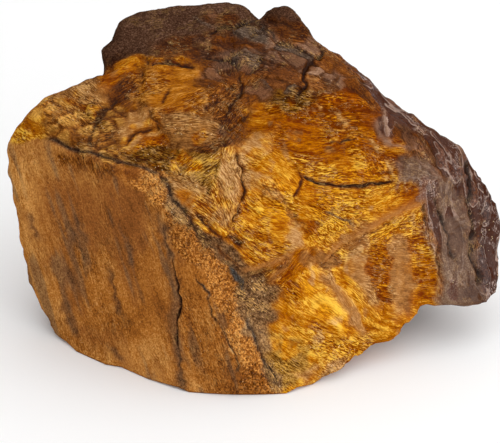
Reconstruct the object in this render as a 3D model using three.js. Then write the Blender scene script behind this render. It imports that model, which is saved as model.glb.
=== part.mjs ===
// A rough tiger's eye stone: one broken lump of fibrous quartz, with a flat weathered joint face on its left,
// a stepped silky fracture over its front and top, and a dark ironstone rind over its back and right end.
// Millimetres, +Z up. The fracture looks along -Y and up, and the stone rests on its foot at Z = 0, with its
// origin in the middle of its box there.
import * as THREE from "three";
import { ConvexHull } from "three/addons/math/ConvexHull.js";
import { mergeVertices } from "three/addons/utils/BufferGeometryUtils.js";

// Driving dimensions.
const HEART = new THREE.Vector3(1, -1, 21); // every point of the surface is in plain sight from here
const FACET_ROWS = 20; // rows of facets along each edge of the icosahedron that swells into the stone
const EVEN_PASSES = 12; // how many times the points are slid apart to even out the facets
const CREASE = 130; // how sharp the creases between planes are
const SEAM = 60; // how sharp the seams between blocks are
const TURN_PASSES = 4; // how many times the facets' sides are turned to follow the creases
const TURN_GAIN = 0.03; // how much closer to the surface a side has to come to be turned
const LEANEST = 0.12; // the least height of a turned facet, as a share of its longest side
const SKIN = { fibre: 0.4, cap: 0.6, right: 0.8 }; // depth of the lumps on each block's skin
const CHIPPING = { fibre: 0, cap: 1.2, right: 1.6 }; // depth of the chips on each block's skin
const LUMP = 7; // width of a lump
const CHIP = 9; // width of a chip
const CLIFF = 1.6; // width of the steep side of a ledge
const FOOT_DEPTH = 1.2; // how much of the lowest skin is worn away to leave the foot flat

// The stone is broken to overlapping blocks. Each is the hull of its corners, and holds the heart.
const FIBRE_BLOCK = {
  footFront: [-6, -29.5, 0],
  footFrontRight: [1, -29, 0],
  footFrontLeft: [-9, -28.5, 0],
  footLeftNear: [-15, -26, 0],
  footLeftMiddle: [-20.5, -22, 0],
  footLeft: [-26, -19, 0],
  footLeftFar: [-32.5, -14.5, 0],
  leftToe: [-36.5, -11, 0],
  leftToeFar: [-38.5, -8.5, 1],
  leftHeel: [-40, -6.5, 2.5],
  leftLow: [-42.5, -2, 5.5],
  leftMiddle: [-44, 0, 15],
  leftMiddleHigh: [-45, 1, 25],
  leftHigh: [-47, 2.5, 31],
  leftShoulder: [-46, 3.5, 35],
  crestLeftLow: [-44, 4.5, 38],
  crestLeft: [-41, 5, 40.5],
  crestLeftHigh: [-35.5, 6.5, 43],
  crestStep: [-31, 7.5, 44.5],
  crestMiddle: [-28.5, 8.5, 45],
  crestRight: [-21.5, 11, 47.5],
  crestTop: [-14, 13, 48.5],
  fibreTop: [-4.5, 12.5, 48.5],
  jointTopLeft: [-43.5, 2.5, 32],
  jointTopMiddle: [-27, -11.5, 36.5],
  jointTopRight: [-16.5, -19, 32.5],
  bevelTop: [-11.5, -19.5, 29.5],
  bevelOuter: [-7, -25.5, 16.5],
  bevelInner: [-2.5, -24.5, 17],
  rindTop: [17.5, 8.5, 45.5],
  rindMiddle: [26.5, 1.5, 37],
  rindLow: [31.5, -3.5, 27.5],
  rindFoot: [30, -12.5, 9],
  frontRight: [27, -15, 5],
  frontRightLow: [19.5, -19.5, 3],
  frontMiddle: [13.5, -23, 1.5],
  front: [6, -27.5, 0],
  backCrest: [-27, 19, 38.5],
  backWaist: [-20, 27.5, 24],
  backLeftHigh: [-36, 17, 31],
  backLeftLow: [-34, 17, 4],
  backLeftFoot: [-28, 17, 0],
  backFoot: [0, 24, 0],
  backRightFoot: [20, 9, 0],
  backRight: [28, 12, 10],
};
const CAP_BLOCK = {
  leftLow: [-28.5, 13, 45.5],
  left: [-29, 16, 47],
  leftNotch: [-28, 18, 48],
  leftHigh: [-27.5, 20, 50],
  topLeftLow: [-26, 22, 51.5],
  topLeft: [-23, 23, 52.5],
  topLeftInner: [-19, 24, 52.5],
  topMiddle: [-10.5, 24.5, 53.5],
  topRight: [-3.5, 24, 54],
  topEnd: [-1, 23, 52.5],
  frontLipLeft: [-20, 11.5, 48],
  frontLip: [-8, 13.5, 49.5],
  backTopLeft: [-24, 29, 43],
  backTopRight: [2, 30, 45],
  backWaist: [-6, 31.5, 24],
  backFoot: [-10, 25, 0],
  backFootRight: [8, 25, 0],
  leftDeep: [-22, -4, 14],
  rightDeep: [20, -4, 14],
  frontDeep: [0, -12, 10],
};
const RIGHT_BLOCK = {
  saddleLeft: [-7, 19, 51],
  saddle: [1.5, 22, 52],
  top0: [8, 19.5, 51.5],
  top1: [11.5, 17, 47],
  top2: [17, 13.5, 45],
  top3: [22, 10.5, 41],
  top4: [27.5, 9.5, 37],
  top5: [33, 8, 34.5],
  top6: [37.5, 6, 32],
  top7: [41, 4, 27.5],
  right1: [43, 3, 23.5],
  right2: [45, 2, 19.5],
  right3: [45, 0.5, 15],
  right4: [44.5, -1.5, 10.5],
  right5: [45, -5, 7.5],
  right6: [44, -6.5, 6.5],
  rightFoot: [42.5, -8, 6],
  lowMiddle: [40, -10, 7],
  lowFront: [34.5, -12.5, 9],
  saddleFront: [-2, 12.5, 49],
  rindTop: [17.5, 8.5, 45.5],
  rindMiddle: [26.5, 1.5, 37],
  rindLow: [32.5, -3.5, 27.5],
  backTop: [12, 27.5, 37.5],
  backMiddle: [20, 25, 20],
  backRight: [36.5, 15.5, 17.5],
  backRightLow: [35, 11, 6],
  backRightFoot: [24, 12, 0],
  backLow: [14, 23, 0],
  leftDeep: [-14, -6, 14],
  frontDeep: [4, -14, 14],
};

// Round swells of the surface, and hollows where high is less than zero.
const SWELLS = {
  knob: { at: [6, 20.5, 52.5], wide: 3, high: 3 },
  topHollow: { at: [-22.5, 2.5, 43.5], wide: 5, high: -1.2 },
  leftHollow: { at: [-27, -5, 39.5], wide: 4.5, high: -1.1 },
  jointHollow: { at: [-17.5, -7, 39.5], wide: 3.5, high: -0.9 },
  trough: { at: [-2.5, -1.5, 41.5], wide: 5, high: -1 },
  bandHollow: { at: [1, -24, 16.5], wide: 6, high: -1.4 },
  jointDish: { at: [-28, -15, 17], wide: 16, high: -0.8 },
};

// Steps of the broken fibre. Each climbs by rise to the left of its path, as seen from outside,
// and its high side falls back over run.
const LEDGES = {
  fork: {
    rise: 1.6,
    run: 9,
    path: [[-7, -26, 18], [-1, -22, 21], [8, -17.5, 22.5], [20, -9, 27], [30, -4, 29]],
  },
  lowerLobe: { rise: 1.2, run: 12, path: [[17, -22, 5], [16, -20, 10], [12.5, -19.5, 16], [6, -20, 20.5]] },
  crack: { rise: 1.1, run: 8, path: [[1, -12.5, 33.5], [6, -12, 31.5], [11.5, -10, 31], [18, -7.5, 31]] },
  shell: { rise: 1.3, run: 9, path: [[-5.5, -20, 26.5], [-2, -13.5, 34], [-3, -9, 38]] },
  leftPetals: {
    rise: 1.6,
    run: 14,
    path: [[-21, 7.5, 46], [-21.5, 3.5, 44], [-20.5, -1, 42], [-17, -5, 40]],
  },
  rightPetals: { rise: 1, run: 12, path: [[-5, -9, 38], [-4, -2.5, 41], [-6, 2, 43.5], [-7, 6, 46]] },
  rindEdge: {
    rise: 1.2,
    run: 9,
    path: [[1, 6, 45.5], [9, 1, 42.5], [16, 3, 42], [24, -1, 37], [26, -4, 32]],
  },
  middleLobe: { rise: 0.9, run: 8, path: [[-2, -14, 33], [4.5, -13.5, 30.5], [8.5, -15, 25.5]] },
  rightFold: { rise: 0.9, run: 9, path: [[20, -9.5, 27], [18, -13.5, 22.5], [19.5, -17, 14], [23, -18, 7]] },
};

// The outward planes of a block, as seen from the heart, each once.
function planesOf(corners) {
  const points = Object.values(corners).map((corner) => new THREE.Vector3(...corner).sub(HEART));
  const planes = [];
  for (const { normal, constant } of new ConvexHull().setFromPoints(points).faces)
    if (!planes.some((plane) => plane.normal.dot(normal) > 0.9999)) planes.push({ normal, reach: constant });
  return planes;
}

const blocks = [FIBRE_BLOCK, CAP_BLOCK, RIGHT_BLOCK].map(planesOf);

// How far a block reaches in a direction: its nearest plane, with the creases worn a little round.
function blockReach(planes, direction) {
  let sum = 0;
  for (const { normal, reach } of planes) sum += (Math.max(normal.dot(direction), 0) / reach) ** CREASE;
  return sum ** (-1 / CREASE);
}

// The point of the broken blocks' surface in a direction, and the share that each block has in it.
function surfaceAlong(direction) {
  const reaches = blocks.map((planes) => blockReach(planes, direction) ** SEAM);
  const sum = reaches.reduce((a, b) => a + b);
  const point = direction.clone().multiplyScalar(sum ** (1 / SEAM));
  return { point, shares: reaches.map((reach) => reach / sum) };
}

// A repeatable random number from 0 to 1 for each corner of the unit grid.
function chance(x, y, z, salt = 0) {
  let h = Math.imul(x, 374761393) ^ Math.imul(y, 668265263);
  h ^= Math.imul(z, 2147483629) ^ Math.imul(salt, 974634777);
  h = Math.imul(h ^ (h >>> 13), 1274126177);
  h = Math.imul(h ^ (h >>> 16), 2246822519);
  return ((h ^ (h >>> 15)) >>> 0) / 4294967296;
}

// Smooth lumps, from -1 to 1, one unit wide.
function lumps(p) {
  const [x, y, z] = [Math.floor(p.x), Math.floor(p.y), Math.floor(p.z)];
  const ease = (t) => t * t * (3 - 2 * t);
  const [u, v, w] = [ease(p.x - x), ease(p.y - y), ease(p.z - z)];
  let sum = 0;
  for (const [dx, dy, dz] of [0, 1, 2, 3, 4, 5, 6, 7].map((n) => [n & 1, (n >> 1) & 1, n >> 2]))
    sum += chance(x + dx, y + dy, z + dz) * (dx ? u : 1 - u) * (dy ? v : 1 - v) * (dz ? w : 1 - w);
  return 2 * sum - 1;
}

// Scooped chips one unit wide: about -0.5 at the middle of each random cell, rising to about 0.5 at its rim.
function chips(p) {
  let nearest = Infinity;
  const cell = new THREE.Vector3();
  for (let dx = -1; dx <= 1; dx++)
    for (let dy = -1; dy <= 1; dy++)
      for (let dz = -1; dz <= 1; dz++) {
        const [x, y, z] = [Math.floor(p.x) + dx, Math.floor(p.y) + dy, Math.floor(p.z) + dz];
        cell.set(x + chance(x, y, z, 1), y + chance(x, y, z, 2), z + chance(x, y, z, 3));
        nearest = Math.min(nearest, cell.distanceTo(p));
      }
  return nearest - 0.5;
}

// How high the ledges stand at a point of the surface.
function ledgesAt(p) {
  const outward = p.clone().sub(HEART).normalize();
  let height = 0;
  for (const { path, rise, run } of Object.values(LEDGES)) {
    let best = { gap: Infinity };
    for (let k = 0; k + 1 < path.length; k++) {
      const [a, b] = [new THREE.Vector3(...path[k]), new THREE.Vector3(...path[k + 1])];
      const on = new THREE.Line3(a, b).closestPointToPoint(p, true, new THREE.Vector3());
      const left = outward.clone().cross(b.clone().sub(a)).normalize();
      const away = p.clone().sub(on);
      if (away.length() < best.gap) best = { gap: away.length(), side: away.dot(left) };
    }
    const beside = Math.sqrt(Math.max(best.gap ** 2 - best.side ** 2, 0)); // how far past the path's ends
    const climb = THREE.MathUtils.smoothstep(best.side, -CLIFF / 2, CLIFF / 2);
    const fall = Math.exp(-Math.max(best.side, 0) / run);
    height += rise * climb * fall * Math.exp(-((2 * beside / run) ** 2));
  }
  return height;
}

// How high the swells stand at a point of the surface.
function swellsAt(p) {
  let height = 0;
  for (const { at, wide, high } of Object.values(SWELLS))
    height += high * Math.exp(-p.distanceToSquared(new THREE.Vector3(...at)) / wide ** 2);
  return height;
}

// The depth of the natural skin at a point of the surface, by the share that each block has in it.
function skinAt(p, [fibre, cap, right]) {
  const depth = fibre * SKIN.fibre + cap * SKIN.cap + right * SKIN.right;
  const chipping = fibre * CHIPPING.fibre + cap * CHIPPING.cap + right * CHIPPING.right;
  const coarse = lumps(p.clone().divideScalar(LUMP));
  const fine = lumps(p.clone().multiplyScalar(2 / LUMP).addScalar(31));
  return depth * (coarse + 0.5 * fine) + chipping * chips(p.clone().divideScalar(CHIP));
}

// The points that share an edge with each point.
function neighboursOf(count, index) {
  const neighbours = Array.from({ length: count }, () => new Set());
  for (let t = 0; t < index.length; t += 3)
    for (let k = 0; k < 3; k++) neighbours[index[t + k]].add(index[t + ((k + 1) % 3)]);
  return neighbours;
}

// Slides each direction to the middle of its neighbours' points on the surface.
function evened(directions, neighbours) {
  const points = directions.map((direction) => surfaceAlong(direction).point);
  return neighbours.map((around) => {
    const middle = new THREE.Vector3();
    for (const i of around) middle.add(points[i]);
    return middle.normalize();
  });
}

// The point of the finished surface in a direction from the heart.
function finishedAlong(direction) {
  const { point, shares } = surfaceAlong(direction);
  const spot = point.clone().add(HEART);
  const low = 1 - THREE.MathUtils.smoothstep(spot.z, 0.2, 1.4);
  const relief = skinAt(spot, shares) + ledgesAt(spot) + swellsAt(spot);
  const reach = point.length() + relief + low * FOOT_DEPTH;
  const floor = direction.z < 0 ? HEART.z / -direction.z : Infinity; // worn flat at the foot
  return direction.clone().multiplyScalar(Math.min(reach, floor));
}

// How far the middle of the side between two points is from the surface.
function sideGap(a, b) {
  const middle = a.clone().add(b).divideScalar(2);
  return middle.distanceTo(finishedAlong(middle.clone().normalize()));
}

// Whether three points make a facet that faces out and isn't too lean.
function soundFacet(a, b, c) {
  const across = b.clone().sub(a).cross(c.clone().sub(a));
  const longest = Math.max(a.distanceTo(b), b.distanceTo(c), c.distanceTo(a));
  return across.dot(a) > 0 && across.length() > LEANEST * longest ** 2;
}

// Turns the side that two facets share to join their other corners, wherever that is closer to the surface.
function turnSides(index, points) {
  const sides = new Map();
  const nameOf = (i, j) => Math.min(i, j) * points.length + Math.max(i, j);
  for (let t = 0; t < index.length; t += 3)
    for (let k = 0; k < 3; k++) {
      const [i, j, corner] = [0, 1, 2].map((n) => index[t + ((k + n) % 3)]);
      if (!sides.has(nameOf(i, j))) sides.set(nameOf(i, j), []);
      sides.get(nameOf(i, j)).push({ t, i, j, corner });
    }
  const turned = new Set();
  for (const [one, two] of [...sides.values()]) {
    const [i, j, a, b] = [one.i, one.j, one.corner, two.corner];
    if (turned.has(one.t) || turned.has(two.t) || sides.has(nameOf(a, b))) continue;
    if (!soundFacet(points[i], points[b], points[a])) continue;
    if (!soundFacet(points[b], points[j], points[a])) continue;
    if (sideGap(points[a], points[b]) > sideGap(points[i], points[j]) - TURN_GAIN) continue;
    index.set([i, b, a], one.t);
    index.set([b, j, a], two.t);
    sides.set(nameOf(a, b), []);
    turned.add(one.t).add(two.t);
  }
}

function stoneGeometry() {
  const ball = new THREE.IcosahedronGeometry(1, FACET_ROWS - 1);
  ball.deleteAttribute("normal");
  ball.deleteAttribute("uv");
  const geometry = mergeVertices(ball, 1e-5);
  const place = geometry.getAttribute("position");
  const index = geometry.index.array;
  const neighbours = neighboursOf(place.count, index);
  let directions = neighbours.map((_, i) => new THREE.Vector3().fromBufferAttribute(place, i));
  for (let pass = 0; pass < EVEN_PASSES; pass++) directions = evened(directions, neighbours);
  const points = directions.map(finishedAlong);
  for (let pass = 0; pass < TURN_PASSES; pass++) turnSides(index, points);
  points.forEach(({ x, y, z }, i) => place.setXYZ(i, x, y, z));
  geometry.computeBoundingBox();
  const { min, max } = geometry.boundingBox;
  geometry.translate(-(min.x + max.x) / 2, -(min.y + max.y) / 2, -min.z);
  geometry.computeVertexNormals();
  return geometry;
}

const stone = new THREE.Group();
const lump = new THREE.Mesh(
  stoneGeometry(),
  new THREE.MeshStandardMaterial({ color: 0xb06a1c, roughness: 0.35, metalness: 0 }),
);
lump.name = "tigers_eye_stone";
stone.add(lump);

export default stone;
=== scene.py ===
from collections import namedtuple
from itertools import product
from math import cos, pi, radians, sin

import bmesh
import bpy
import numpy as np
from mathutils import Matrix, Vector


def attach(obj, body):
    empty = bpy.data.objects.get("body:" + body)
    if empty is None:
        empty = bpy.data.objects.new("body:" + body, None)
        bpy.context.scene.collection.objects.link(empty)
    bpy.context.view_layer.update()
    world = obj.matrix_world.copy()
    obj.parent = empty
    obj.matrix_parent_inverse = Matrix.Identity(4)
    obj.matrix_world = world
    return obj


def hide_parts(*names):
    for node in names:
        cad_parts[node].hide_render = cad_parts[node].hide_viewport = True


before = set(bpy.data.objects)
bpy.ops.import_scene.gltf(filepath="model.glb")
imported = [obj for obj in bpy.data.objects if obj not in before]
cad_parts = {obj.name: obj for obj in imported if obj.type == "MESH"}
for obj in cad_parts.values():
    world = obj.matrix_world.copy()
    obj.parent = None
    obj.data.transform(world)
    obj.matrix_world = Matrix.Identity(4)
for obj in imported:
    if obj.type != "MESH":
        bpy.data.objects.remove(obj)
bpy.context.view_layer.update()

# ---------------------------------------------------------------- the view

MM = 1000  # in a metre
WIDTH, HEIGHT = 500, 443  # pixels of the picture
LENS, SENSOR = 135, 36  # mm
TILT = radians(28)  # how far the camera looks down
AIM = np.array([-1, -9.5, 24])  # mm, the point in the middle of the picture
DISTANCE = 337.5  # mm from that point to the camera

TO_CAMERA = np.array([0, -cos(TILT), sin(TILT)])
PICTURE_RIGHT = np.array([1, 0, 0])
PICTURE_UP = np.array([0, sin(TILT), cos(TILT)])
EYE = AIM + TO_CAMERA * DISTANCE

# ---------------------------------------------------------------- the finishes

# Each finish: its dark, middle and light colour, how rough and how glossy it is, how much of its
# colour follows the fibres, the grit and the blotches, how many painted glints (pale highlights)
# it has, and how deep its flakes, its grains, its dishes, its pits, its chips and its drips are.
# It has none of what isn't named.
FINISHES = {
    "silk": dict(dark="762e00", middle="ba6c00", light="fcc444", rough=0.45, gloss=0.04, fibre=1,
                 grit=0.1, blotch=0.5, painted_glints=0.5, flake=1),
    "amber": dict(dark="702c00", middle="a65600", light="eca41c", rough=0.45, gloss=0.04, fibre=1,
                  grit=0.1, blotch=0.5, painted_glints=0.35, flake=0.9),
    # The mauve and tan of sheen is a painted sheen: light reflected from glossy fibre.
    "sheen": dict(dark="5e3410", middle="a66e34", light="e4b274", rough=0.45, gloss=0.08,
                  fibre=0.75, grit=0.15, blotch=0.5, painted_glints=0.7, flake=0.6),
    # Smooth sheen is the sheen without its tatters, also a painted sheen.
    "smooth sheen": dict(dark="5a3210", middle="a87038", light="e2b074", rough=0.45, gloss=0.08,
                  fibre=0.65, grit=0.15, blotch=0.6, painted_glints=0.4, flake=0.35, dish=0.1),
    "clod": dict(dark="461c02", middle="a46e2a", light="eaac54", rough=0.45, gloss=0.08, fibre=0.8,
                 grit=0.2, blotch=0.6, painted_glints=0.6, flake=0.7, chip=0.25),
    "moss": dict(dark="421c00", middle="885814", light="d29e46", rough=0.48, gloss=0.06,
                 fibre=0.95, grit=0.3, blotch=0.6, painted_glints=0.6, flake=0.9, grain=0.1),
    "rust": dict(dark="401a02", middle="7a3f08", light="c47a28", rough=0.45, gloss=0.12, fibre=0.7,
                 grit=0.3, blotch=0.7, painted_glints=0.3, flake=0.7, grain=0.1, dish=0.1, chip=0.4),
    # The mauve of plum is partly a painted reflection, a veil of light over dark brown facets.
    "plum": dict(dark="3a200e", middle="7a5238", light="b48c6e", rough=0.36, gloss=0.16,
                 fibre=0.35, grit=0.2, blotch=0.7, painted_glints=0.35, flake=0.3, dish=0.2, chip=1),
    # The grey of slate is partly a painted reflection on glossy dark facets.
    "slate": dict(dark="2a1a10", middle="5e4a3a", light="988474", rough=0.42, gloss=0.14,
                  fibre=0.6, grit=0.4, blotch=0.6, painted_glints=0.5, flake=0.4, grain=0.1, dish=0.2,
                  chip=0.8),
    "ochre": dict(dark="5e2f12", middle="ae6a28", light="e2a45a", rough=0.85, fibre=0.42,
                  grit=0.42, blotch=0.9, painted_glints=0.2, grain=0.16, pit=0.14),
    "umber": dict(dark="4e2c12", middle="955828", light="c4843e", rough=0.85, fibre=0.42,
                  grit=0.36, blotch=0.9, painted_glints=0.08, grain=0.1, pit=0.1),
    "smoke": dict(dark="36241a", middle="6e5038", light="9a7650", rough=0.85, fibre=0.3, grit=0.5,
                  blotch=0.6, painted_glints=0.08, grain=0.12, pit=0.1),
    "grit": dict(dark="462206", middle="9a581c", light="e69e4c", rough=0.6, gloss=0.05, fibre=0.45,
                 grit=0.75, blotch=0.6, painted_glints=0.5, grain=1),
    "crumb": dict(dark="42260e", middle="88603a", light="cc9e68", rough=0.5, gloss=0.06,
                  fibre=0.55, grit=0.55, blotch=0.8, painted_glints=0.8, flake=0.3, grain=0.8, chip=0.3),
    "hide": dict(dark="2c180f", middle="543828", light="86634f", rough=0.75, fibre=0.2, grit=0.6,
                 blotch=0.6, painted_glints=0.12, grain=0.15, dish=0.1, pit=0.7),
    "varnish": dict(dark="341204", middle="6e4028", light="c4a48c", rough=0.3, gloss=0.3,
                    fibre=0.38, grit=0.4, blotch=1, painted_glints=0.62, flake=0.15, grain=0.1, dish=0.5,
                    pit=0.2, drip=1),
    # A dark glossy rind whose pale mauve-grey is a painted reflection.
    "rind with painted reflection": dict(dark="3c1e0a", middle="664834", light="a88a6e", rough=0.28, gloss=0.32,
                  fibre=0.12, grit=0.3, blotch=1.5, painted_glints=0.16, dish=0.6, pit=0.1, drip=0.25),
    # Film's pale end paints the glossy highlights that run down the rind.
    "film with painted highlights": dict(dark="3c2010", middle="86604a", light="c4a890", rough=0.3, gloss=0.18, fibre=0.2,
                 grit=0.1, blotch=0.5, painted_glints=0.1, dish=0.2),
    "petal": dict(dark="6e2e02", middle="b26a0e", light="eca84c", rough=0.42, gloss=0.06,
                  fibre=0.9, grit=0.1, blotch=1.2, painted_glints=0.4, flake=0.9),
    "ridge": dict(dark="603010", middle="a26830", light="dca468", rough=0.4, gloss=0.08,
                  fibre=0.25, grit=0.1, blotch=0.5, painted_glints=0.15, flake=0.1),
    "ink": dict(dark="120c08", middle="2e2620", light="5e5c58", rough=0.45, gloss=0.1, fibre=0.3,
                grit=0.6, blotch=0.3, painted_glints=0.3, flake=0.3, grain=0.3),
}

# The small marks in the material, in the order that they are laid: each one's colour, and how
# much of what is under it that covers. The glints and sparks are painted highlights, as is the
# pale rim of a drip, and the dark of a crack is partly painted shade.
MARKS = {
    "pit": ("481800", 0.55),
    "dark grain": ("40302a", 0.4),
    "gap between drips": ("421a02", 0.72),
    "painted highlight on a drip's rim": ("c8aa98", 0.5),
    "joint": ("341a0a", 0.7),
    "crack": ("2a1204", 0.8),
    "glint": ("eab264", 0.8),
    "painted spark": ("ffdca8", 0.65),
}
# The colour that the painted glints take on the rind, a painted reflection.
RIND_PAINTED_GLINT = "ccb0a4"

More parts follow.
